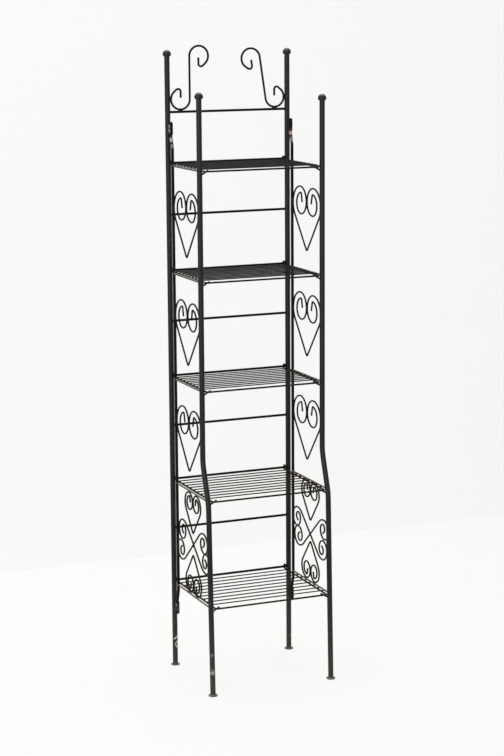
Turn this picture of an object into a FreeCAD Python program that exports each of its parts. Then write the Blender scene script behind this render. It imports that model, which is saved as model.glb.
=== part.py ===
import FreeCAD, Part
import math
import os
from FreeCAD import Vector

# A folding bakers rack of steel tube and bent wire, in millimetres.
# X runs left to right, the rack faces -Y and stands on Z = 0.
# "Depth" is always the distance forward of the rear posts' centres.

# Posts, finials and feet
POST_SPAN = 337.0
POST_D = 14.0
POST_WALL = 1.2
BALL_D = 22.0
BALL_UNDERCUT = 5.0
PLUG_LENGTH = 16.0
PLUG_SLACK = 0.1
PLUG_ROOT = 1.0
FOOT_D = 24.0
FOOT_DISC = 3.0
FOOT_H = 6.5
FOOT_FLARE = 0.8
FOOT_STEP = 0.8

# The front posts stand straight, step forward below the third shelf and then splay
FRONT_DEPTH = 222.0
KNEE_TOP_Z = 608.0
KNEE_LOW_Z = 503.0
KNEE_DEPTH = 259.0
FOOT_DEPTH = 276.0
KNEE_BEND_R = 100.0

# Heights of the shelves' hinge rods, of the bars that brace the back and of the posts' tops
SHELF_LOW_Z = 238.0
SHELF_PITCH = 280.5
SHELF_COUNT = 5
TOP_BAR_RISE = 131.0
REAR_POST_RISE = 143.0
FRONT_POST_RISE = {-1: 174.5, 1: 163.0}
BAR_ABOVE_MIDDLE = 6.0
BAR_D = 6.4

# Shelves: side wires with an eye at the rear, a front wire with rounded corners, and slats
FRAME_D = 4.8
FRAME_SIDE_GAP = 1.6
FRAME_CORNER_R = 7.0
FRAME_LEAD = 7.0
EYE_FIT = 0.08
EYE_WRAP = 250.0
SLAT_D = 3.2
SLAT_COUNT = 9

# Side panels: a hinge rod, rails and bent wire ornament in one flat plane
HINGE_DEPTH = 22.0
HINGE_ROD_D = 7.9
HINGE_ROD_DEPTH = 32.0
HINGE_JOG_H = 30.0
HINGE_BEND_R = 14.0
BARREL_D = 11.0
BARREL_H = 31.0
BARREL_FIT = 0.08
BARREL_UPPER_RISE = 74.0
BARREL_LOWER_DROP = 86.0
BARREL_PEG_D = 6.0
BARREL_PEG_STEP = 18.0
PIN_END = 2.0
JOG_CLEAR = 4.0
RAIL_D = 5.0
RAIL_DROP = 5.0
WIRE_D = 4.5
SEAT_GAP = 0.1

# Hearts, sized by their half width; the bend radii are shares of it
HEART_DROP = 67.0
SMALL_HEART_HALF = 56.0
HEART_SLANT = 39.5
POINT_R = 5.0
SIDE_R = 0.51
LOBE_R = 0.53
UNDER_R = 0.385
CURL_R = 0.315
INNER_R = 0.33
INNER_TURN = 82.0
HOOK_R = 4.0
HOOK_TURN = 84.0
HEART_TIP = 0.26

# Crossed scrolls of the lowest panel bay
CROSS_BELOW_MIDDLE = 5.0
CROSS_RISE = 40.0
CROSS_SHOULDER_R = 45.0
CROSS_OUTER_R = 28.0
CROSS_CURL_R = 24.0
CROSS_INNER_R = 15.0
CROSS_HOOK_R = 11.0
CROSS_HOOK_TURN = 150.0
CROSS_TIP = 6.0

# Two S scrolls on the top bar; the right one leans inward
CREST_D = 5.5
CREST_LOOP_R = 26.0
CREST_LOOP_TURN = 230.0
CREST_SHAFT = 110.0
CREST_RUN = 8.0
CREST_HOOK_R = 7.0
CREST_HOOK_TURN = 130.0
CREST_TIP = 16.0
CREST_LEAN = {-1: 0.0, 1: 8.4}

# Catches: pegs on the front posts that slant up past each shelf's side wires
CATCH_D = 4.5
CATCH_REST = 0.3
CATCH_SLANT = 30.0
CATCH_RISE = 2.0

POST_X = POST_SPAN / 2
POST_R = POST_D / 2
REAR_Y = FOOT_DEPTH / 2
FRAME_R = FRAME_D / 2
WIRE_R = WIRE_D / 2
EYE_R = BAR_D / 2 + EYE_FIT + FRAME_R
FRAME_X = POST_X - POST_R - FRAME_SIDE_GAP - FRAME_R
TOP_SHELF_Z = SHELF_LOW_Z + (SHELF_COUNT - 1) * SHELF_PITCH
TOP_BAR_Z = TOP_SHELF_Z + TOP_BAR_RISE
REAR_SEAT_Z = TOP_BAR_Z + REAR_POST_RISE
BARREL_UPPER_Z = TOP_SHELF_Z + BARREL_UPPER_RISE
BARREL_LOWER_Z = SHELF_LOW_Z - BARREL_LOWER_DROP
CROSS_Z = SHELF_LOW_Z + SHELF_PITCH / 2 - RAIL_DROP - CROSS_BELOW_MIDDLE
SIDES = {"left": -1, "right": 1}
UP = Vector(0, 0, 1)
ACROSS = Vector(1, 0, 0)


# Heights and depths that several pieces share

def shelf_z(number):
    """Height of a shelf's hinge rod; shelf 1 is the top one."""
    return SHELF_LOW_Z + (SHELF_COUNT - number) * SHELF_PITCH


def rail_z(number):
    return shelf_z(number) - RAIL_DROP


def frame_z(number):
    return shelf_z(number) - EYE_R


def front_seat_z(side):
    """Height of a front post's top; the left post stands taller."""
    return TOP_SHELF_Z + FRONT_POST_RISE[side]


def front_post_depth(z):
    """Depth of a front post's centre line at a height."""
    if z >= KNEE_TOP_Z:
        return FRONT_DEPTH
    if z >= KNEE_LOW_Z:
        share = (KNEE_TOP_Z - z) / (KNEE_TOP_Z - KNEE_LOW_Z)
        return FRONT_DEPTH + share * (KNEE_DEPTH - FRONT_DEPTH)
    share = (KNEE_LOW_Z - z) / (KNEE_LOW_Z - FOOT_H)
    return KNEE_DEPTH + share * (FOOT_DEPTH - KNEE_DEPTH)


def front_post_lean(z):
    """Angle of a front post from the vertical at a height, in radians."""
    step = 1.0
    return math.atan(front_post_depth(z - step) - front_post_depth(z))


def shelf_depth(number):
    return front_post_depth(frame_z(number)) + FRAME_LEAD


def at(x, depth, z):
    return Vector(x, REAR_Y - depth, z)


# Bent wire and tube

def straight(a, b):
    return Part.LineSegment(a, b).toShape()


def rounded_path(points, radius):
    """Straight runs through the points, with an arc at each corner."""
    edges = []
    here = points[0]
    for before, corner, after in zip(points, points[1:], points[2:]):
        back = (before - corner).normalize()
        onward = (after - corner).normalize()
        half = back.getAngle(onward) / 2
        inward = (back + onward).normalize()
        start = corner + back * (radius / math.tan(half))
        end = corner + onward * (radius / math.tan(half))
        middle = corner + inward * (radius / math.sin(half) - radius)
        edges.append(straight(here, start))
        edges.append(Part.Arc(start, middle, end).toShape())
        here = end
    edges.append(straight(here, points[-1]))
    return edges


def bent_path(plane, start, heading, moves):
    """Edges of a wire bent in a flat plane: ("run", length) or ("bend", radius, turn)."""
    origin, right, up = plane

    def place(a, b):
        return origin + right * a + up * b

    edges = []
    a, b = start
    angle = math.radians(heading)
    for move in moves:
        if move[0] == "run":
            end = (a + move[1] * math.cos(angle), b + move[1] * math.sin(angle))
            edges.append(straight(place(a, b), place(*end)))
        else:
            radius, turn = move[1], math.radians(move[2])
            side = math.copysign(1.0, turn)
            ca = a - side * radius * math.sin(angle)
            cb = b + side * radius * math.cos(angle)
            spokes = []
            for share in (0.5, 1.0):
                spoke = angle + turn * share - side * math.pi / 2
                spokes.append((ca + radius * math.cos(spoke), cb + radius * math.sin(spoke)))
            end = spokes[1]
            edges.append(Part.Arc(place(a, b), place(*spokes[0]), place(*end)).toShape())
            angle += turn
        a, b = end
    return edges


def round_bar(edges, diameter):
    """A round bar along joined edges: its runs are extruded and its bends are turned."""
    path = Part.Wire(Part.sortEdges(edges)[0])
    here = path.OrderedVertexes[0].Point
    section = None
    faces = []
    for edge in path.OrderedEdges:
        ends = [edge.FirstParameter, edge.LastParameter]
        ends.sort(key=lambda t: edge.valueAt(t).distanceToPoint(here))
        there = edge.valueAt(ends[1])
        if section is None:
            section = Part.Wire(Part.makeCircle(diameter / 2, here, edge.tangentAt(ends[0])))
            faces.append(Part.Face(section))
        if isinstance(edge.Curve, Part.Circle):
            turn = math.degrees(ends[1] - ends[0])
            faces += section.revolve(edge.Curve.Center, edge.Curve.Axis, turn).Faces
            section = section.rotated(edge.Curve.Center, edge.Curve.Axis, turn)
        else:
            faces += section.extrude(there - here).Faces
            section = section.translated(there - here)
        here = there
    faces.append(Part.Face(section))
    skin = Part.makeCompound(faces)
    skin.sewShape()
    bar = Part.Solid(skin.Shells[0])
    if bar.Volume < 0:
        bar.reverse()
    return bar


def cross_rod(diameter, depth, z, half):
    """A straight rod from side to side."""
    return Part.makeCylinder(diameter / 2, 2 * half, at(-half, depth, z), ACROSS)


def mirrored(moves):
    """The same bends, turned the other way."""
    return [move if move[0] == "run" else ("bend", move[1], -move[2]) for move in moves]


# Posts, finials and feet

def rear_post_core(side):
    return Part.makeCylinder(POST_R, REAR_SEAT_Z - FOOT_H, at(side * POST_X, 0, FOOT_H), UP)


def rear_post(side):
    bore = Part.makeCylinder(POST_R - POST_WALL, REAR_SEAT_Z, at(side * POST_X, 0, 0), UP)
    return rear_post_core(side).cut(bore)


def front_post_path(side):
    x = side * POST_X
    corners = [(FRONT_DEPTH, front_seat_z(side)), (FRONT_DEPTH, KNEE_TOP_Z), (KNEE_DEPTH, KNEE_LOW_Z)]
    corners.append((front_post_depth(0.0), 0.0))
    return rounded_path([at(x, depth, z) for depth, z in corners], KNEE_BEND_R)


def above_feet(shape):
    """Cut a tube off level where it stands on its foot."""
    size = 4 * POST_SPAN
    below = Part.makeBox(size, size, size, Vector(-size / 2, -size / 2, FOOT_H - size))
    return shape.cut(below)


def front_post_core(side):
    return above_feet(round_bar(front_post_path(side), POST_D))


def front_post(side):
    bore = round_bar(front_post_path(side), POST_D - 2 * POST_WALL)
    return front_post_core(side).cut(bore)


def plug(base, direction):
    radius = POST_R - POST_WALL - PLUG_SLACK
    return Part.makeCylinder(radius, PLUG_LENGTH, base, direction)


def finial(x, depth, seat_z):
    """A ball with a flat underside, plugged into the post's top."""
    centre = at(x, depth, seat_z + BALL_UNDERCUT)
    ball = Part.makeSphere(BALL_D / 2, centre)
    below = Part.makeBox(BALL_D, BALL_D, BALL_D, at(x - BALL_D / 2, depth + BALL_D / 2, seat_z - BALL_D))
    return ball.cut(below).fuse(plug(at(x, depth, seat_z), -UP))


def foot(x, depth, lean):
    """A round foot that flares out from the post's end, with a plug up the tube."""
    rim = FOOT_DISC / 4
    outline = [
        (0, 0), (FOOT_D / 2 - rim, 0), (FOOT_D / 2, rim), (FOOT_D / 2, FOOT_DISC - rim),
        (FOOT_D / 2 - rim, FOOT_DISC), (POST_R + FOOT_FLARE, FOOT_DISC + FOOT_STEP),
        (POST_R, FOOT_H), (0, FOOT_H), (0, 0),
    ]
    profile = Part.Face(Part.makePolygon([Vector(r, 0, z) for r, z in outline]))
    flare = profile.revolve(Vector(0, 0, 0), UP, 360)
    rise = Vector(0, math.sin(lean), math.cos(lean))
    flare = flare.fuse(plug(UP * FOOT_H - rise * PLUG_ROOT, rise))
    flare.translate(at(x, depth, 0))
    return flare


# Back frame

def back_rod(depth, z, diameter):
    """A rod between the rear posts, its ends shaped to the tubes."""
    rod = cross_rod(diameter, depth, z, POST_X)
    for side in SIDES.values():
        rod = rod.cut(rear_post_core(side))
    return rod


def crest_scroll(side):
    """An S of wire that stands on the top bar against a rear post."""
    lean = CREST_LEAN[side]
    reach = CREST_D / 2 + SEAT_GAP
    ca = POST_R + reach + CREST_LOOP_R
    cb = TOP_BAR_Z + BAR_D / 2 + reach + CREST_LOOP_R
    plane = (at(side * POST_X, 0, 0), ACROSS * -side, UP)
    tilt = math.radians(-lean)
    foot_end = (ca + CREST_LOOP_R * math.cos(tilt), cb + CREST_LOOP_R * math.sin(tilt))
    curl = [("run", CREST_RUN), ("bend", CREST_HOOK_R, -CREST_HOOK_TURN), ("run", CREST_TIP)]
    lower = [("bend", CREST_LOOP_R, -(CREST_LOOP_TURN - lean))] + curl
    upper = [("run", CREST_SHAFT), ("bend", CREST_LOOP_R, -CREST_LOOP_TURN)] + curl
    edges = bent_path(plane, foot_end, 270 - lean, lower)
    edges += bent_path(plane, foot_end, 90 - lean, upper)
    return round_bar(edges, CREST_D)


def hinge_barrel(side, base_z):
    """A short tube held off the rear post by two pegs."""
    x = side * POST_X
    barrel = Part.makeCylinder(BARREL_D / 2, BARREL_H, at(x, HINGE_DEPTH, base_z), UP)
    for step in (-0.5, 0.5):
        z = base_z + BARREL_H / 2 + step * BARREL_PEG_STEP
        peg = Part.makeCylinder(BARREL_PEG_D / 2, HINGE_DEPTH, at(x, 0, z), Vector(0, -1, 0))
        barrel = barrel.fuse(peg)
    bore = Part.makeCylinder(HINGE_ROD_D / 2 + BARREL_FIT, BARREL_H, at(x, HINGE_DEPTH, base_z), UP)
    return barrel.cut(bore).cut(rear_post_core(side))


# Side panels

def panel_plane(side, offset=0.0):
    """Depth and height axes of a panel, the offset counted outward."""
    return (at(side * (POST_X + offset), 0, 0), Vector(0, -1, 0), UP)


def hinge_rod(side):
    """The panel's rear rod, stepped back at each end to run in its barrels."""
    x = side * POST_X
    upper = BARREL_UPPER_Z - JOG_CLEAR
    lower = BARREL_LOWER_Z + BARREL_H + JOG_CLEAR
    corners = [
        (HINGE_DEPTH, BARREL_UPPER_Z + BARREL_H + PIN_END), (HINGE_DEPTH, upper),
        (HINGE_ROD_DEPTH, upper - HINGE_JOG_H), (HINGE_ROD_DEPTH, lower + HINGE_JOG_H),
        (HINGE_DEPTH, lower), (HINGE_DEPTH, BARREL_LOWER_Z - PIN_END),
    ]
    return round_bar(rounded_path([at(x, d, z) for d, z in corners], HINGE_BEND_R), HINGE_ROD_D)


def side_rails(side):
    """Level rails between hinge rod and front post, one for each shelf."""
    tools = [hinge_rod(side), front_post_core(side)]
    rails = []
    for number in range(1, SHELF_COUNT + 1):
        z = rail_z(number)
        start = at(side * POST_X, HINGE_ROD_DEPTH, z)
        length = front_post_depth(z) - HINGE_ROD_DEPTH
        rail = Part.makeCylinder(RAIL_D / 2, length, start, Vector(0, -1, 0))
        rails.append(rail.cut(tools))
    return Part.makeCompound([rail.Solids[0] for rail in rails])


def panel_span(z):
    """Depths that a wire's centre can reach between hinge rod and front post."""
    reach = WIRE_R + SEAT_GAP
    rear = HINGE_ROD_DEPTH + HINGE_ROD_D / 2 + reach
    front = front_post_depth(z) - POST_R / math.cos(front_post_lean(z)) - reach
    return rear, front


def heart_moves(half):
    """Bends of half a heart, from its point round to the tip inside the lobe."""
    lobe = LOBE_R * half
    side = SIDE_R * half
    slant = math.radians(HEART_SLANT)
    reach = half - side * (1 - math.cos(slant)) - POINT_R * math.cos(slant)
    meet = half - lobe - WIRE_R - SEAT_GAP
    return [
        ("bend", POINT_R, 90 - HEART_SLANT),
        ("run", reach / math.sin(slant)),
        ("bend", side, HEART_SLANT),
        ("bend", lobe, 90),
        ("bend", meet, 90),
        ("bend", UNDER_R * half, 90),
        ("bend", CURL_R * half, 90),
        ("bend", INNER_R * half, INNER_TURN),
        ("bend", HOOK_R, HOOK_TURN),
        ("run", HEART_TIP * half),
    ]


def heart_height(half):
    """Point to lobe top, on the wire's centre line."""
    slant = math.radians(HEART_SLANT)
    run = heart_moves(half)[1][1]
    rise = POINT_R * (1 - math.sin(slant)) + run * math.cos(slant)
    return rise + SIDE_R * half * math.sin(slant) + LOBE_R * half


def heart(side, middle, point_z, half, up=1):
    """A heart of one wire, its point at the bottom, or at the top when up is -1."""
    origin, forward, rise = panel_plane(side)
    plane = (origin, forward, rise * up)
    moves = heart_moves(half)
    start = (middle, point_z * up)
    edges = bent_path(plane, start, 0, moves)
    edges += bent_path(plane, start, 180, mirrored(moves))
    return round_bar(edges, WIRE_D)


def panel_heart(side, number):
    """The heart below one of the three upper shelves."""
    top = shelf_z(number) - HEART_DROP
    rear, front = panel_span(top)
    half = (front - rear) / 2
    return heart(side, (front + rear) / 2, top - heart_height(half), half)


def lower_middle():
    """Depth of the middle of the lowest panel bay."""
    rear, front = panel_span(CROSS_Z)
    return (front + rear) / 2


def hanging_heart(side):
    top = rail_z(SHELF_COUNT - 1) - RAIL_D / 2 - SEAT_GAP - WIRE_R
    return heart(side, lower_middle(), top - heart_height(SMALL_HEART_HALF), SMALL_HEART_HALF)


def standing_heart(side):
    low = rail_z(SHELF_COUNT) + RAIL_D / 2 + SEAT_GAP + WIRE_R
    return heart(side, lower_middle(), low + heart_height(SMALL_HEART_HALF), SMALL_HEART_HALF, -1)


def cross_scroll(side, slope):
    """One of two S scrolls that cross; they lie one on each side of the panel's plane."""
    plane = panel_plane(side, slope * (WIRE_R + SEAT_GAP / 2))
    rear, front = panel_span(CROSS_Z + slope * CROSS_CURL_R)
    rise = math.radians(CROSS_RISE)
    reach = (front - rear) / 2 - CROSS_OUTER_R - CROSS_SHOULDER_R * math.sin(rise)
    half = [
        ("run", reach / math.cos(rise)),
        ("bend", CROSS_SHOULDER_R, -CROSS_RISE),
        ("bend", CROSS_OUTER_R, -90),
        ("bend", CROSS_CURL_R, -90),
        ("bend", CROSS_CURL_R, -90),
        ("bend", CROSS_INNER_R, -90),
        ("bend", CROSS_HOOK_R, -CROSS_HOOK_TURN),
        ("run", CROSS_TIP),
    ]
    centre = ((front + rear) / 2, CROSS_Z)
    moves = half if slope > 0 else mirrored(half)
    edges = bent_path(plane, centre, slope * CROSS_RISE, moves)
    edges += bent_path(plane, centre, slope * CROSS_RISE + 180, moves)
    return round_bar(edges, WIRE_D)


def shelf_catch(side, number):
    """A peg on the inside of a front post; the side wire rests between peg and post."""
    radius = CATCH_D / 2
    slant = math.radians(CATCH_SLANT)
    z = frame_z(number)
    depth = shelf_depth(number) - FRAME_CORNER_R - radius - CATCH_REST
    beside = FRAME_X - (FRAME_R + radius + CATCH_REST) / math.sin(slant)
    root = POST_X - POST_R / 2
    start = at(side * root, depth, z - (root - beside) * math.tan(slant))
    end = at(side * (beside - CATCH_RISE / math.tan(slant)), depth, z + CATCH_RISE)
    return Part.makeCylinder(radius, start.distanceToPoint(end), start, end - start)


def shelf_catches(side):
    post = front_post_core(side)
    pegs = [shelf_catch(side, number).cut(post) for number in range(1, SHELF_COUNT + 1)]
    return Part.makeCompound([peg.Solids[0] for peg in pegs])


# Shelves

def shelf_eye(side, number):
    """An arc round the hinge rod that ends below it, where the side wire starts."""
    centre_z = shelf_z(number)

    def spoke(degrees):
        angle = math.radians(degrees)
        return at(side * FRAME_X, EYE_R * math.cos(angle), centre_z + EYE_R * math.sin(angle))

    return Part.Arc(spoke(-90 - EYE_WRAP), spoke(-90 - EYE_WRAP / 2), spoke(-90)).toShape()


def shelf_frame(number):
    """Two side wires with their eyes, butted to the turned-back ends of a front wire."""
    z = frame_z(number)
    turn = shelf_depth(number) - FRAME_CORNER_R
    wires = []
    for side in SIDES.values():
        run = straight(at(side * FRAME_X, 0, z), at(side * FRAME_X, turn, z))
        wires.append(round_bar([shelf_eye(side, number), run], FRAME_D))
    plane = (at(0, 0, z), ACROSS, Vector(0, -1, 0))
    corner = ("bend", FRAME_CORNER_R, -90)
    moves = [corner, ("run", 2 * (FRAME_X - FRAME_CORNER_R)), corner]
    wires.append(round_bar(bent_path(plane, (-FRAME_X, turn), 90, moves), FRAME_D))
    return Part.makeCompound(wires)


def shelf_slats(number):
    """Wires laid across the frame at even spacing."""
    z = frame_z(number) + FRAME_R + SLAT_D / 2 + SEAT_GAP / 2
    pitch = shelf_depth(number) / (SLAT_COUNT + 1)
    half = FRAME_X + FRAME_R
    slats = [cross_rod(SLAT_D, pitch * (i + 1), z, half) for i in range(SLAT_COUNT)]
    return Part.makeCompound(slats)


# The whole rack, piece by piece

def back_frame():
    pieces = {"top_bar": back_rod(0, TOP_BAR_Z, BAR_D)}
    for number in range(1, SHELF_COUNT + 1):
        pieces[f"shelf_rod_{number}"] = back_rod(0, shelf_z(number), BAR_D)
    for number in range(1, SHELF_COUNT):
        middle = (shelf_z(number) + shelf_z(number + 1)) / 2
        pieces[f"back_bar_{number}"] = back_rod(0, middle + BAR_ABOVE_MIDDLE, BAR_D)
    for name, side in SIDES.items():
        x = side * POST_X
        pieces[f"rear_post_{name}"] = rear_post(side)
        pieces[f"rear_finial_{name}"] = finial(x, 0, REAR_SEAT_Z)
        pieces[f"rear_foot_{name}"] = foot(x, 0, 0.0)
        pieces[f"crest_scroll_{name}"] = crest_scroll(side)
        pieces[f"hinge_upper_{name}"] = hinge_barrel(side, BARREL_UPPER_Z)
        pieces[f"hinge_lower_{name}"] = hinge_barrel(side, BARREL_LOWER_Z)
    return pieces


def side_panel(name):
    side = SIDES[name]
    x = side * POST_X
    pieces = {
        "front_post": front_post(side),
        "front_finial": finial(x, FRONT_DEPTH, front_seat_z(side)),
        "front_foot": foot(x, FOOT_DEPTH, front_post_lean(0)),
        "hinge_rod": hinge_rod(side),
        "side_rails": side_rails(side),
        "heart_top": panel_heart(side, 1),
        "heart_middle": panel_heart(side, 2),
        "heart_bottom": panel_heart(side, 3),
        "hanging_heart": hanging_heart(side),
        "standing_heart": standing_heart(side),
        "scroll_rising": cross_scroll(side, 1),
        "scroll_falling": cross_scroll(side, -1),
        "shelf_catches": shelf_catches(side),
    }
    return {f"{piece}_{name}": shape for piece, shape in pieces.items()}


def shelves():
    pieces = {}
    for number in range(1, SHELF_COUNT + 1):
        pieces[f"shelf_{number}_frame"] = shelf_frame(number)
        pieces[f"shelf_{number}_slats"] = shelf_slats(number)
    return pieces


os.makedirs("parts", exist_ok=True)
rack = {**back_frame(), **side_panel("left"), **side_panel("right"), **shelves()}
for node, shape in rack.items():
    shape.exportStep(f"parts/{node}.step")
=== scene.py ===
import math
import random

import bpy
from mathutils import Matrix, Vector


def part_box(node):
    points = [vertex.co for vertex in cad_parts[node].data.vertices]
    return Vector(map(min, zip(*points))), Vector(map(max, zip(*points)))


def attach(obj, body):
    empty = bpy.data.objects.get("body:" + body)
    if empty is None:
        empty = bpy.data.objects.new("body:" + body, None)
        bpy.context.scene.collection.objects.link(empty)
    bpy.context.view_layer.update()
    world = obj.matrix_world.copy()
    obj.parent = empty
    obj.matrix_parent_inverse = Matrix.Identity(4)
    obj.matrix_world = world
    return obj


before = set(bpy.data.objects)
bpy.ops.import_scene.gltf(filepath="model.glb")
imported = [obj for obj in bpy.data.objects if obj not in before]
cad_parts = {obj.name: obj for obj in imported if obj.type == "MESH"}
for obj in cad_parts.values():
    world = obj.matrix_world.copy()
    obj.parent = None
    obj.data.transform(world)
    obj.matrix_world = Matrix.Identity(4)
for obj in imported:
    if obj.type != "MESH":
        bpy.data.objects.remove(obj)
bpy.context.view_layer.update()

# A folding bakers rack of black enamelled tube and wire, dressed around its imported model, in metres.

MM = 0.001

# Where the photographer stood: yaw turns left, tilt looks down
CAMERA_PLACE = (-2.0126, -4.8138, 1.7855)
CAMERA_YAW = -22.74
CAMERA_TILT = 10.67
CAMERA_ROLL = 0.39
CAMERA_LENS = 96.65
CAMERA_SENSOR = 36.0

# White studio: the floor, and the wall behind
FLOOR_SIZE = 80.0
WALL_Y = 1.19
WALL_SIZE = (16.0, 6.0)
FLOOR_WHITE = "#FEFEFD"
WALL_WHITE = "#FCFCFB"

# Share of that white which shows without light: near the rack, where shadows fall, and far from it
SHADOW_REACH = (2.2, 5.0)
SHOWN_NEAR = 0.84
SHOWN_FAR = 0.97

# The sky: how much light it gives, and how bright it shows
SKY_TINT = "#FAFAF9"
SKY_STRENGTH = 0.15
SKY_SHOWN = 1.0

# Lamps as (name, place, aim, width, watts)
LAMPS = [
    ("window", (-3.2, -2.2, 1.7), (0.0, 0.0, 0.8), 3.0, 68.0),
    ("bright room", (-1.6, -6.0, 2.0), (0.0, 0.0, 0.8), 3.5, 62.0),
    ("overhead lamp", (0.0, 0.3, 4.2), (0.0, 0.3, 0.0), 2.6, 85.0),
]

# Sizes that the welds share with the rack; shelves count from the top
SIDES = {"left": -1, "right": 1}
SHELVES = range(1, 6)
RAIL_DROP = 5 * MM
RAIL_R = 2.5 * MM
FRAME_R = 2.4 * MM
PEG_STEP = 18 * MM
PEG_MIDDLE = 3 * MM
CATCH_REACH = 45 * MM
TOUCH = 0.05 * MM

# Weld metal: how large, how stretched, and how uneven as (size, depth)
LUMP_R = 3.4 * MM
LUMP_FORM = (0.85, 0.95, 1.2)
LUMP_UNEVEN = (2.5 * MM, 1.8 * MM)
NUGGET_R = 1.9 * MM
NUGGET_FORM = (1.25, 1.15, 0.6)
NUGGET_UNEVEN = (1.5 * MM, 0.4 * MM)
RING_WIRE = 1.0 * MM
RING_UNEVEN = (2.0 * MM, 0.5 * MM)
FILLET_STRETCH = 1.75
WELD_SPREAD = (0.9, 1.12)
WELD_SEED = 11

# How large a lump is beside LUMP_R, by what it holds
PEG_LUMP = 1.1
CREST_FILLET = 0.9
CREST_LUMP = 0.8
HEART_LUMP = 0.75
SMALL_HEART_LUMP = 0.7
SCROLL_LUMP = 0.75
CROSSING_LUMP = 0.8
CATCH_LUMP = 0.6

# Enamel: sizes of its patterns. Real grit is a tenth as large and a real ripple half as wide: both are
# drawn coarser, so that they show.
ENAMEL_IOR = 1.5
COAT_SIZE = 45 * MM
DUST_AND_HIGHLIGHT_SIZE = 6 * MM
GRIT_SIZE = 2.2 * MM
RUST_SIZE = 9 * MM
FLAKE_SIZE = 3.5 * MM
RIPPLE_SIZE = 3 * MM
RIPPLE_DEPTH = 0.25 * MM
RIPPLE_STRENGTH = 0.25

# Wear, and the painted highlights and bounce light laid on like it: how level a surface is, or how strong a
# pattern, where the wear begins and where it is full
DUST_AND_HIGHLIGHT_LEVEL = (0.35, 1.0)
GRIT_LEVEL = (0.66, 0.76)
GRIT_SHARE = 0.8
RUST_LEVEL = (0.60, 0.70)
FLAKE_EDGE = 0.04
STROKE_CORE = 0.7
STROKE_REACH = 9 * MM
# Painted bounce light from the white floor: posts are drawn paler toward the foot, up to this height
BOUNCE_LIGHT_TOP = 300 * MM
WORN_ROUGH = 0.75
# Dust, which on the feet is laid on heavily as a painted highlight
DUST_AND_HIGHLIGHT = "#9A9188"
# Colour of the painted bounce light from the floor, laid on the posts' feet
FLOOR_BOUNCE_LIGHT = "#6E6963"
RUST = "#5E3F2D"
PRIMER = "#D9D3C4"

# Chips of flaked enamel as (place, radius, cover, colour); the pale patches on the hinge rods and barrels
# are painted highlights, partly bare metal. Strokes scratched down to the primer as (place, slope, length,
# width), in mm and degrees. Places count from where the post's foot stands, or from the middle of the hinge
# barrel.
CHIPS_AND_GLINTS = {
    "front_post_left": [
        ((0, -3, 60), 60, 0.36, "#A9A49B"),
        ((-2.5, -4.5, 65), 8, 0.56, "#B4AFA6"),
        ((-4, -2.5, 110), 6, 0.5, "#A9A49B"),
    ],
    "rear_post_right": [
        ((0, -7, 30), 20, 0.42, "#5E4636"),
        ((4.5, -5.5, 41), 4, 0.85, "#A9A49B"),
    ],
    # Painted highlights: pale patches where the step below each barrel catches light, the tan one partly
    # bare metal
    "hinge_rod_left": [
        ((-3.5, -12.1, -27.5), 8, 0.75, "#B4B0AB"),
        ((-3.5, -18.1, -43.5), 7, 0.7, "#8F8D8E"),
    ],
    "hinge_rod_right": [
        ((0, -8.1, -19.5), 9, 0.8, "#B59A8C"),
        ((0, -17.1, -36.5), 10, 0.75, "#8F8D8E"),
    ],
    # Painted highlights at the left barrel's pegs, partly bare metal at the welds
    "hinge_upper_left": [
        ((-6.5, -3.1, 6.5), 8, 0.6, "#B4B0AB"),
        ((-6.5, -3.1, -5.5), 8, 0.6, "#B4B0AB"),
    ],
    "hinge_upper_right": [((0, -11.1, -13.5), 5, 0.48, "#8A6242")],
    # A painted highlight between barrel and post, partly flaked paint at the weld
    "hinge_lower_left": [((-5, -5.1, 0.5), 16, 0.44, "#8F8A83")],
}
STROKES = {
    "rear_post_left": [
        ((0, -7, 78), 42, 20, 4.0),
        ((2, -7, 65), 52, 17, 3.8),
        ((2, -7, 53), -54, 17, 3.8),
    ],
}

# Pieces near the floor, drawn browner and paler than those above
LOW_SHELVES = (4, 5)
LOW_ORNAMENT = ("scroll_", "hanging_heart", "standing_heart")


# Places read from the model

def points(node, keep=lambda point: True):
    """All points of a node's mesh, or those that are kept."""
    return [v.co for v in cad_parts[node].data.vertices if keep(v.co)]


def corners(node, keep):
    """Lowest and highest corner of the part of a node that is kept."""
    kept = points(node, keep)
    low = Vector(min(p[i] for p in kept) for i in range(3))
    high = Vector(max(p[i] for p in kept) for i in range(3))
    return low, high


def middle(node):
    low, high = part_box(node)
    return (low + high) / 2


def thickness(node):
    """How thick a level bar or wire is."""
    low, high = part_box(node)
    return high.z - low.z


def outermost(node, direction, keep=lambda point: True):
    """Mean of the points that lie furthest along a direction."""
    way = Vector(direction)
    kept = points(node, keep)
    limit = max(p.dot(way) for p in kept) - TOUCH
    far = [p for p in kept if p.dot(way) >= limit]
    return sum(far, Vector()) / len(far)


def steps(values, gap):
    """Middles of the groups into which values fall."""
    groups = []
    for value in sorted(values):
        if groups and value - groups[-1][-1] < gap:
            groups[-1].append(value)
        else:
            groups.append([value])
    return [(group[0] + group[-1]) / 2 for group in groups]


def turn(degrees, axis):
    return Matrix.Rotation(math.radians(degrees), 4, axis)


STRAIGHT = Matrix.Identity(4)


# Weld metal

def deselect():
    bpy.ops.object.select_all(action="DESELECT")


def stretch(form):
    """Stretch the active shape along X, Y and Z."""
    bpy.ops.object.mode_set(mode="EDIT")
    bpy.ops.mesh.select_all(action="SELECT")
    bpy.ops.transform.resize(value=form)
    bpy.ops.object.mode_set(mode="OBJECT")


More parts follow.
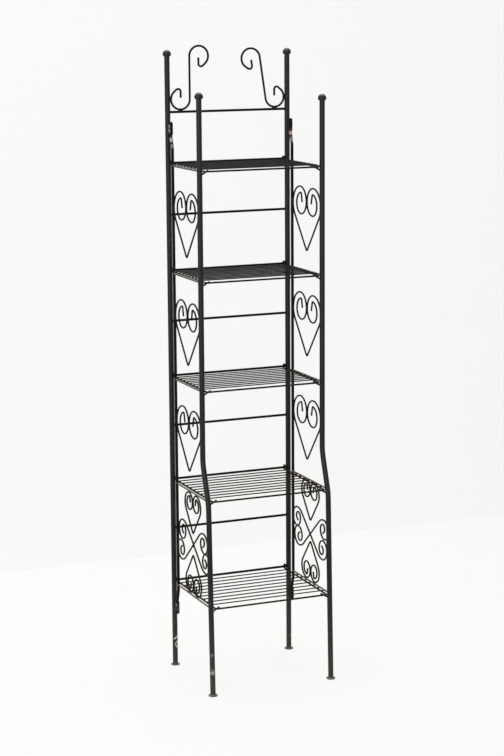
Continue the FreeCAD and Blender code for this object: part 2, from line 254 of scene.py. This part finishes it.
def roughen(piece, size, depth):
    """Make a shape uneven, as cooled weld metal is."""
    clouds = bpy.data.textures.new("weld spatter", "CLOUDS")
    clouds.noise_scale = size
    uneven = piece.modifiers.new("uneven", "DISPLACE")
    uneven.texture = clouds
    uneven.strength = depth
    bpy.ops.object.modifier_apply(modifier=uneven.name)
    bpy.ops.object.shade_smooth()


def weld_lump():
    """A blob of weld metal, a little longer than it is wide."""
    deselect()
    bpy.ops.mesh.primitive_ico_sphere_add(subdivisions=3, radius=LUMP_R)
    lump = bpy.context.active_object
    stretch(LUMP_FORM)
    roughen(lump, *LUMP_UNEVEN)
    return lump


def weld_nugget():
    """The squeezed spot where a slat was pressed into its frame."""
    deselect()
    bpy.ops.mesh.primitive_ico_sphere_add(subdivisions=2, radius=NUGGET_R)
    nugget = bpy.context.active_object
    stretch(NUGGET_FORM)
    roughen(nugget, *NUGGET_UNEVEN)
    return nugget


def weld_ring(bar_radius):
    """A bead run round the end of a bar that lies along X."""
    deselect()
    bpy.ops.mesh.primitive_torus_add(
        major_segments=28, minor_segments=8, major_radius=bar_radius, minor_radius=RING_WIRE,
        rotation=(0, math.radians(90), 0),
    )
    ring = bpy.context.active_object
    bpy.ops.object.transform_apply(location=True, rotation=True, scale=True)
    roughen(ring, *RING_UNEVEN)
    return ring


def lay(shape, places, chance):
    """Copies of a shape at (place, twist, scale), each with its own mesh and no two quite as large."""
    made = []
    for place, twist, scale in places:
        copy = shape.copy()
        copy.data = shape.data.copy()
        bpy.context.scene.collection.objects.link(copy)
        own_scale = scale * chance.uniform(*WELD_SPREAD)
        copy.data.transform(Matrix.Translation(place) @ twist @ Matrix.Scale(own_scale, 4))
        made.append(copy)
    return made


def join(pieces, name, body, finish):
    """Make one object of several, riding on a body."""
    deselect()
    for piece in pieces:
        piece.select_set(True)
    bpy.context.view_layer.objects.active = pieces[0]
    bpy.ops.object.join()
    whole = bpy.context.active_object
    whole.name = name
    whole.data.materials.clear()
    whole.data.materials.append(finish)
    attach(whole, body)


def bar_ends():
    """Both ends of each bar and rod of the back frame."""
    bars = ["top_bar"] + [f"shelf_rod_{n}" for n in SHELVES] + [f"back_bar_{n}" for n in SHELVES[:-1]]
    places = []
    for bar in bars:
        low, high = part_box(bar)
        centre = (low + high) / 2
        for x in (low.x + RING_WIRE / 2, high.x - RING_WIRE / 2):
            places.append((Vector((x, centre.y, centre.z)), STRAIGHT, 1.0))
    return places


def back_lumps():
    """Lumps on the barrels' pegs and where the crest scrolls touch."""
    places = []
    for name, side in SIDES.items():
        post_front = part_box(f"rear_post_{name}")[0].y
        for end in ("upper", "lower"):
            barrel = middle(f"hinge_{end}_{name}")
            for step in (-0.5, 0.5):
                place = Vector((barrel.x, post_front - PEG_MIDDLE, barrel.z + step * PEG_STEP))
                places.append((place, turn(90, "X"), PEG_LUMP))
        crest = f"crest_scroll_{name}"
        fillet = turn(90, "Y") @ Matrix.Diagonal((1, 1, FILLET_STRETCH, 1))
        places.append((outermost(crest, (0, 0, -1)), fillet, CREST_FILLET))
        places.append((outermost(crest, (side, 0, 0)), STRAIGHT, CREST_LUMP))
    return places


def panel_rings(name):
    """Both ends of each side rail."""
    rails = f"side_rails_{name}"
    places = []
    for n in SHELVES:
        z = middle(f"shelf_rod_{n}").z - RAIL_DROP
        low, high = corners(rails, lambda p: abs(p.z - z) < RAIL_DROP)
        for y in (low.y + RING_WIRE / 2, high.y - RING_WIRE / 2):
            places.append((Vector(((low.x + high.x) / 2, y, z)), turn(90, "Z"), 1.0))
    return places


def panel_lumps(name):
    """Lumps where the ornament touches posts, rods and rails, and where the scrolls cross."""
    places = []
    for heart in ("heart_top", "heart_middle", "heart_bottom"):
        for way in (1, -1):
            places.append((outermost(f"{heart}_{name}", (0, way, 0)), STRAIGHT, HEART_LUMP))
    for heart, way in (("hanging_heart", 1), ("standing_heart", -1)):
        node = f"{heart}_{name}"
        centre = middle(node).y
        for keep in (lambda p: p.y < centre, lambda p: p.y > centre):
            places.append((outermost(node, (0, 0, way), keep), turn(90, "X"), SMALL_HEART_LUMP))
    for scroll in ("scroll_rising", "scroll_falling"):
        for way in (1, -1):
            places.append((outermost(f"{scroll}_{name}", (0, way, 0)), STRAIGHT, SCROLL_LUMP))
    crossing = (middle(f"scroll_rising_{name}") + middle(f"scroll_falling_{name}")) / 2
    places.append((crossing, turn(90, "Y"), CROSSING_LUMP))
    return places


def catch_lumps(name):
    """A lump each side of every catch, low where it leaves its post."""
    catches = f"shelf_catches_{name}"
    places = []
    for n in SHELVES:
        z = middle(f"shelf_rod_{n}").z
        low, high = corners(catches, lambda p: abs(p.z - z) < CATCH_REACH)
        root = outermost(catches, (0, 0, -1), lambda p: abs(p.z - z) < CATCH_REACH)
        for y in (low.y, high.y):
            places.append((Vector((root.x, y, root.z + LUMP_R)), STRAIGHT, CATCH_LUMP))
    return places


def slat_nuggets(n):
    """Both ends of each slat, where it lies on the frame."""
    slats = f"shelf_{n}_slats"
    low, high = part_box(slats)
    places = []
    for y in steps([p.y for p in points(slats)], thickness(slats) * 2):
        for x in (low.x + FRAME_R, high.x - FRAME_R):
            places.append((Vector((x, y, low.z)), STRAIGHT, 1.0))
    return places


# Marks of wear and painted highlights, set on the model

def wear_origin(node):
    """Where a node's marks count from: its foot on the floor, or its hinge barrel."""
    if "post" in node:
        low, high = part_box(node.replace("post", "foot"))
        return Vector(((low.x + high.x) / 2, (low.y + high.y) / 2, low.z))
    return middle(node.replace("rod", "upper"))


def chips_and_glints_on(node):
    """A node's flaked patches and painted highlights as (place, radius, cover, colour), in metres."""
    return [(wear_origin(node) + Vector(place) * MM, radius * MM, cover, patch_colour)
            for place, radius, cover, patch_colour in CHIPS_AND_GLINTS.get(node, ())]


def strokes_on(node):
    """A node's strokes as (place, slope, length, width), in metres and radians."""
    return [(wear_origin(node) + Vector(place) * MM, math.radians(slope), length * MM, width * MM)
            for place, slope, length, width in STROKES.get(node, ())]


# Finishes

def linear(code):
    """A colour written as sRGB hex, in linear light."""
    shares = [int(code[i:i + 2], 16) / 255 for i in (1, 3, 5)]
    return tuple(c / 12.92 if c <= 0.04045 else ((c + 0.055) / 1.055) ** 2.4 for c in shares) + (1.0,)


def add(tree, kind, inputs, **settings):
    """Add a node: settings are its own, inputs are values or the sockets that feed them."""
    node = tree.nodes.new(kind)
    for name, value in settings.items():
        setattr(node, name, value)
    for socket, value in inputs.items():
        if isinstance(value, bpy.types.NodeSocket):
            tree.links.new(value, node.inputs[socket])
        else:
            node.inputs[socket].default_value = value
    return node


def new_tree(name):
    material = bpy.data.materials.new(name)
    material.use_nodes = True
    material.node_tree.nodes.clear()
    return material, material.node_tree


def painted_floor_bounce(tree, where, most):
    """Share of painted bounce light from the white floor: most at the floor, none above its top height."""
    height = add(tree, "ShaderNodeSeparateXYZ", {0: where}).outputs["Z"]
    return add(tree, "ShaderNodeMapRange",
               {"Value": height, "From Min": BOUNCE_LIGHT_TOP, "From Max": 0.0, "To Max": most}).outputs[0]


def dust_and_top_highlight(tree, where, most):
    """Share of the pale top: a patchy dusty film on what faces up, a painted highlight where laid on
    heavily, and grit specks all over.
    """
    facing = add(tree, "ShaderNodeNewGeometry", {}).outputs["Normal"]
    level = add(tree, "ShaderNodeSeparateXYZ", {0: facing}).outputs["Z"]
    upward = add(tree, "ShaderNodeMapRange",
                 {"Value": level, "From Min": DUST_AND_HIGHLIGHT_LEVEL[0], "From Max": DUST_AND_HIGHLIGHT_LEVEL[1]})
    patchiness = add(tree, "ShaderNodeTexNoise", {"Vector": where, "Scale": 1 / DUST_AND_HIGHLIGHT_SIZE, "Detail": 3.0})
    film = add(tree, "ShaderNodeMath",
               {0: upward.outputs[0], 1: patchiness.outputs["Fac"]}, operation="MULTIPLY")
    grit = add(tree, "ShaderNodeTexNoise", {"Vector": where, "Scale": 1 / GRIT_SIZE, "Detail": 2.0})
    specks = add(tree, "ShaderNodeMapRange",
                 {"Value": grit.outputs["Fac"], "From Min": GRIT_LEVEL[0], "From Max": GRIT_LEVEL[1],
                  "To Max": GRIT_SHARE})
    top_and_grit = add(tree, "ShaderNodeMath", {0: film.outputs[0], 1: specks.outputs[0]}, operation="MAXIMUM")
    return add(tree, "ShaderNodeMath", {0: top_and_grit.outputs[0], 1: most}, operation="MULTIPLY").outputs[0]


def rusted(tree, where, most):
    """Share of rust, which pricks through the coat in small blooms."""
    bloom = add(tree, "ShaderNodeTexNoise",
                {"Vector": where, "Scale": 1 / RUST_SIZE, "Detail": 6.0, "Roughness": 0.7})
    return add(tree, "ShaderNodeMapRange",
               {"Value": bloom.outputs["Fac"], "From Min": RUST_LEVEL[0], "From Max": RUST_LEVEL[1],
                "To Max": most}).outputs[0]


def chipped_and_glinting(tree, where, chips_and_glints):
    """Share and colour of each patch of ragged flakes, fewer toward its rim: flaked paint, and on the
    hinges a painted highlight.
    """
    rag_noise = add(tree, "ShaderNodeTexNoise",
                 {"Vector": where, "Scale": 1 / FLAKE_SIZE, "Detail": 4.0, "Distortion": 1.0})
    layers = []
    for place, radius, cover, patch_colour in chips_and_glints:
        away = add(tree, "ShaderNodeVectorMath", {0: where, 1: place}, operation="DISTANCE")
        near = add(tree, "ShaderNodeMapRange",
                   {"Value": away.outputs["Value"], "From Min": radius, "From Max": radius / 2})
        rag_mask = add(tree, "ShaderNodeMapRange",
                     {"Value": rag_noise.outputs["Fac"], "From Min": 1 - cover,
                      "From Max": 1 - cover + FLAKE_EDGE})
        patch = add(tree, "ShaderNodeMath", {0: near.outputs[0], 1: rag_mask.outputs[0]}, operation="MULTIPLY")
        layers.append((patch.outputs[0], patch_colour))
    return layers


def scratched(tree, where, strokes):
    """Share and colour of each stroke: a long thin spot, pale to near its edge."""
    layers = []
    for place, slope, length, width in strokes:
        along = add(tree, "ShaderNodeMapping",
                    {"Vector": where, "Location": place, "Rotation": (0, -slope, 0),
                     "Scale": (length / 2, STROKE_REACH, width / 2)}, vector_type="TEXTURE")
        away = add(tree, "ShaderNodeVectorMath", {0: along.outputs[0]}, operation="LENGTH")
        stroke = add(tree, "ShaderNodeMapRange",
                     {"Value": away.outputs["Value"], "From Min": 1.0, "From Max": STROKE_CORE})
        layers.append((stroke.outputs[0], PRIMER))
    return layers


def enamel(name, deep, thin, rough, gloss, dust_and_highlight, rust, dust_and_highlight_colour=DUST_AND_HIGHLIGHT, floor_bounce=0.0, chips_and_glints=(), strokes=()):
    """Black enamel on steel: faintly rippled, dusty on top, with rust pricking through.

    Deep and thin are its colours where the coat is thick and thin, and the top is dusty in a colour of its
    own; on the finials, rails and feet that pale top is a painted highlight. The amounts say how much of
    the pale top, the rust and a paler foot show, the paler foot being painted bounce light from the white
    floor.
    """
    material, tree = new_tree(name)
    where = add(tree, "ShaderNodeTexCoord", {}).outputs["Object"]

    coat = add(tree, "ShaderNodeTexNoise", {"Vector": where, "Scale": 1 / COAT_SIZE, "Detail": 4.0})
    colour = add(tree, "ShaderNodeMix", {0: coat.outputs["Fac"], 6: linear(deep), 7: linear(thin)},
                 data_type="RGBA").outputs[2]

    dust_and_highlight_share = dust_and_top_highlight(tree, where, dust_and_highlight)
    rusty = rusted(tree, where, rust)
    layers = [(dust_and_highlight_share, dust_and_highlight_colour), (rusty, RUST)]
    if floor_bounce:
        layers.insert(0, (painted_floor_bounce(tree, where, floor_bounce), FLOOR_BOUNCE_LIGHT))
    if chips_and_glints:
        layers += chipped_and_glinting(tree, where, chips_and_glints)
    layers += scratched(tree, where, strokes)
    for share, cover in layers:
        colour = add(tree, "ShaderNodeMix", {0: share, 6: colour, 7: linear(cover)},
                     data_type="RGBA").outputs[2]

    worn = add(tree, "ShaderNodeMath", {0: dust_and_highlight_share, 1: rusty}, operation="MAXIMUM")
    sheen = add(tree, "ShaderNodeMapRange",
                {"Value": worn.outputs[0], "To Min": rough, "To Max": WORN_ROUGH})
    peel = add(tree, "ShaderNodeTexNoise", {"Vector": where, "Scale": 1 / RIPPLE_SIZE, "Detail": 2.0})
    ripple = add(tree, "ShaderNodeBump",
                 {"Height": peel.outputs["Fac"], "Strength": RIPPLE_STRENGTH, "Distance": RIPPLE_DEPTH})
    paint = add(tree, "ShaderNodeBsdfPrincipled",
                {"Base Color": colour, "Roughness": sheen.outputs[0], "Normal": ripple.outputs["Normal"],
                 "IOR": ENAMEL_IOR, "Specular IOR Level": gloss, "Metallic": 0.0})
    add(tree, "ShaderNodeOutputMaterial", {"Surface": paint.outputs[0]})
    return material


def post_enamel(node):
    # Stoved enamel on tube: semi-gloss, so it shows a soft grey streak of the window, and paler toward
    # the foot with painted bounce light from the floor
    return enamel(f"stoved enamel {node}", deep="#0D0C0C", thin="#171615", rough=0.38, gloss=0.2,
                  dust_and_highlight=0.15, rust=0.15, floor_bounce=0.2, chips_and_glints=chips_and_glints_on(node), strokes=strokes_on(node))


def finial_enamel():
    # Stoved enamel that hands have polished: nearly black below, a painted highlight on the crown drawn as
    # pale dust
    return enamel("polished finial enamel", deep="#0A0808", thin="#120E0F", rough=0.3, gloss=0.22,
                  dust_and_highlight=0.7, rust=0.2, dust_and_highlight_colour="#ABA7A6")


def wire_enamel(name, chips_and_glints=()):
    # Dipped enamel on wire: thin and nearly matt, so that it draws as a black line
    return enamel(f"dipped enamel {name}", deep="#060606", thin="#0B0A0A", rough=0.5, gloss=0.08,
                  dust_and_highlight=0.12, rust=0.2, chips_and_glints=chips_and_glints)


def low_wire_enamel():
    # Dipped enamel on the ornament near the floor: browner and paler, warm and matt
    return enamel("browned wire enamel", deep="#19150B", thin="#272011", rough=0.55, gloss=0.04,
                  dust_and_highlight=0.12, rust=0.4)


def rail_enamel():
    # Dipped enamel with a painted tan highlight along the top, drawn as a heavy film of dust
    return enamel("rail enamel with painted highlight", deep="#13100E", thin="#221D19", rough=0.4, gloss=0.35,
                  dust_and_highlight=1.7, rust=0.3, dust_and_highlight_colour="#B4A99D")


def shelf_enamel():
    # Dipped enamel worn smooth by what stood on it: dark, but it glints when seen edge on
    return enamel("worn shelf enamel", deep="#070606", thin="#0F0D0C", rough=0.4, gloss=0.13,
                  dust_and_highlight=0.12, rust=0.3)


def low_shelf_enamel():
    # Dipped enamel on the shelves near the floor: browner and paler, warm, with less of a glint
    return enamel("browned shelf enamel", deep="#1C170C", thin="#2E2513", rough=0.5, gloss=0.05,
                  dust_and_highlight=0.12, rust=0.4)


def foot_enamel():
    # Enamel scraped along the floor: brown with rust round the rim, a painted highlight on top drawn as
    # pale dust
    return enamel("scraped foot enamel", deep="#191614", thin="#3C2D23", rough=0.45, gloss=0.4,
                  dust_and_highlight=1.5, rust=0.6)


def weld_enamel():
    # Weld metal under the same enamel: lumpy, so it catches small glints
    return enamel("painted weld", deep="#0B0A0A", thin="#171412", rough=0.34, gloss=0.2,
                  dust_and_highlight=0.2, rust=0.35)


def dress(node, finish):
    """Give a node of the model its finish."""
    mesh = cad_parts[node].data
    mesh.materials.clear()
    mesh.materials.append(finish)


# The studio

def in_sight(tree):
    """1 for what the camera sees, also by reflection or through glass, and 0 for what only gives light."""
    path = add(tree, "ShaderNodeLightPath", {}).outputs
    mirrored = add(tree, "ShaderNodeMath",
                   {0: path["Is Glossy Ray"], 1: path["Is Transmission Ray"]}, operation="MAXIMUM")
    seen = add(tree, "ShaderNodeMath",
               {0: path["Is Camera Ray"], 1: mirrored.outputs[0]}, operation="MAXIMUM")
    return seen.outputs[0]


def studio_white(name, white, one_sided):
    """Matt white paint that the camera and reflections see part-lit, so that a soft shadow still shows.

    Past SHADOW_REACH it shows evenly white, so that no edge of the studio is seen from any side.
    """
    material, tree = new_tree(name)
    place = add(tree, "ShaderNodeNewGeometry", {}).outputs["Position"]
    flat = add(tree, "ShaderNodeVectorMath", {0: place, 1: (1.0, 1.0, 0.0)}, operation="MULTIPLY")
    reach = add(tree, "ShaderNodeVectorMath", {0: flat.outputs[0]}, operation="LENGTH")
    shown = add(tree, "ShaderNodeMapRange",
                {"Value": reach.outputs["Value"], "From Min": SHADOW_REACH[0], "From Max": SHADOW_REACH[1],
                 "To Min": SHOWN_NEAR, "To Max": SHOWN_FAR})
    share = add(tree, "ShaderNodeMath", {0: in_sight(tree), 1: shown.outputs[0]}, operation="MULTIPLY")
    matt = add(tree, "ShaderNodeBsdfDiffuse", {"Color": linear(white)})
    bright = add(tree, "ShaderNodeEmission", {"Color": linear(white), "Strength": 1.0})
    surface = add(tree, "ShaderNodeMixShader",
                  {0: share.outputs[0], 1: matt.outputs[0], 2: bright.outputs[0]})
    if one_sided:
        behind = add(tree, "ShaderNodeNewGeometry", {}).outputs["Backfacing"]
        clear = add(tree, "ShaderNodeBsdfTransparent", {})
        surface = add(tree, "ShaderNodeMixShader",
                      {0: behind, 1: surface.outputs[0], 2: clear.outputs[0]})
    add(tree, "ShaderNodeOutputMaterial", {"Surface": surface.outputs[0]})
    return material


def build_studio():
    """The floor, and a wall that is clear when seen from behind."""
    deselect()
    bpy.ops.mesh.primitive_plane_add(size=FLOOR_SIZE)
    floor = bpy.context.active_object
    floor.name = "floor"
    floor.data.materials.append(studio_white("floor paint", FLOOR_WHITE, one_sided=False))
    deselect()
    width, height = WALL_SIZE
    upright = (math.radians(90), 0, 0)
    bpy.ops.mesh.primitive_plane_add(size=1, location=(0, WALL_Y, height / 2), rotation=upright)
    wall = bpy.context.active_object
    wall.name = "wall"
    wall.scale = (width, height, 1)
    wall.data.materials.append(studio_white("wall paint", WALL_WHITE, one_sided=True))


def build_sky():
    """A sky that gives little light, but shows as white as the studio."""
    world = bpy.data.worlds.new("studio")
    world.use_nodes = True
    bpy.context.scene.world = world
    tree = world.node_tree
    sky = tree.nodes["Background"]
    sky.inputs["Color"].default_value = linear(SKY_TINT)
    bright = add(tree, "ShaderNodeMapRange",
                 {"Value": in_sight(tree), "To Min": SKY_STRENGTH, "To Max": SKY_SHOWN})
    tree.links.new(bright.outputs[0], sky.inputs["Strength"])


def hang_lamps():
    for name, place, aim, width, watts in LAMPS:
        lamp = bpy.data.lights.new(name, "AREA")
        lamp.size = width
        lamp.energy = watts
        holder = bpy.data.objects.new(name, lamp)
        holder.location = place
        holder.rotation_euler = (Vector(aim) - Vector(place)).to_track_quat("-Z", "Y").to_euler()
        bpy.context.scene.collection.objects.link(holder)


def set_camera():
    lens = bpy.data.cameras.new("photograph")
    lens.lens = CAMERA_LENS
    lens.sensor_width = CAMERA_SENSOR
    camera = bpy.data.objects.new("photograph", lens)
    aim = turn(CAMERA_YAW, "Z") @ turn(90 - CAMERA_TILT, "X") @ turn(-CAMERA_ROLL, "Z")
    camera.matrix_world = Matrix.Translation(CAMERA_PLACE) @ aim
    bpy.context.scene.collection.objects.link(camera)
    bpy.context.scene.camera = camera


# Finishes go on, post by post and wire by wire

wires = wire_enamel("wire")
low_wires = low_wire_enamel()
rails = rail_enamel()
balls = finial_enamel()
feet = foot_enamel()
shelf_coat = shelf_enamel()
low_shelf_coat = low_shelf_enamel()
shelf_coats = {n: low_shelf_coat if n in LOW_SHELVES else shelf_coat for n in SHELVES}
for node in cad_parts:
    if "post" in node:
        dress(node, post_enamel(node))
    elif "finial" in node:
        dress(node, balls)
    elif "foot" in node:
        dress(node, feet)
    elif "rails" in node:
        dress(node, rails)
    elif node.endswith(("_frame", "_slats")):
        dress(node, shelf_coats[int(node.split("_")[1])])
    elif node.startswith(LOW_ORNAMENT):
        dress(node, low_wires)
    elif node in CHIPS_AND_GLINTS:
        dress(node, wire_enamel(node, chips_and_glints_on(node)))
    else:
        dress(node, wires)

# Welds, body by body

chance = random.Random(WELD_SEED)
welds = weld_enamel()
lump = weld_lump()
nugget = weld_nugget()
bar_ring = weld_ring(thickness("top_bar") / 2)
rail_ring = weld_ring(RAIL_R)
beads = lay(bar_ring, bar_ends(), chance) + lay(lump, back_lumps(), chance)
join(beads, "back_welds", "back_frame", welds)
for name in SIDES:
    beads = lay(rail_ring, panel_rings(name), chance)
    beads += lay(lump, panel_lumps(name) + catch_lumps(name), chance)
    join(beads, f"panel_welds_{name}", f"panel_{name}", welds)
for n in SHELVES:
    join(lay(nugget, slat_nuggets(n), chance), f"slat_welds_{n}", f"shelf_{n}", shelf_coats[n])
for shape in (lump, nugget, bar_ring, rail_ring):
    bpy.data.objects.remove(shape)

build_studio()
build_sky()
hang_lamps()
set_camera()
bpy.context.scene.view_settings.view_transform = "Standard"
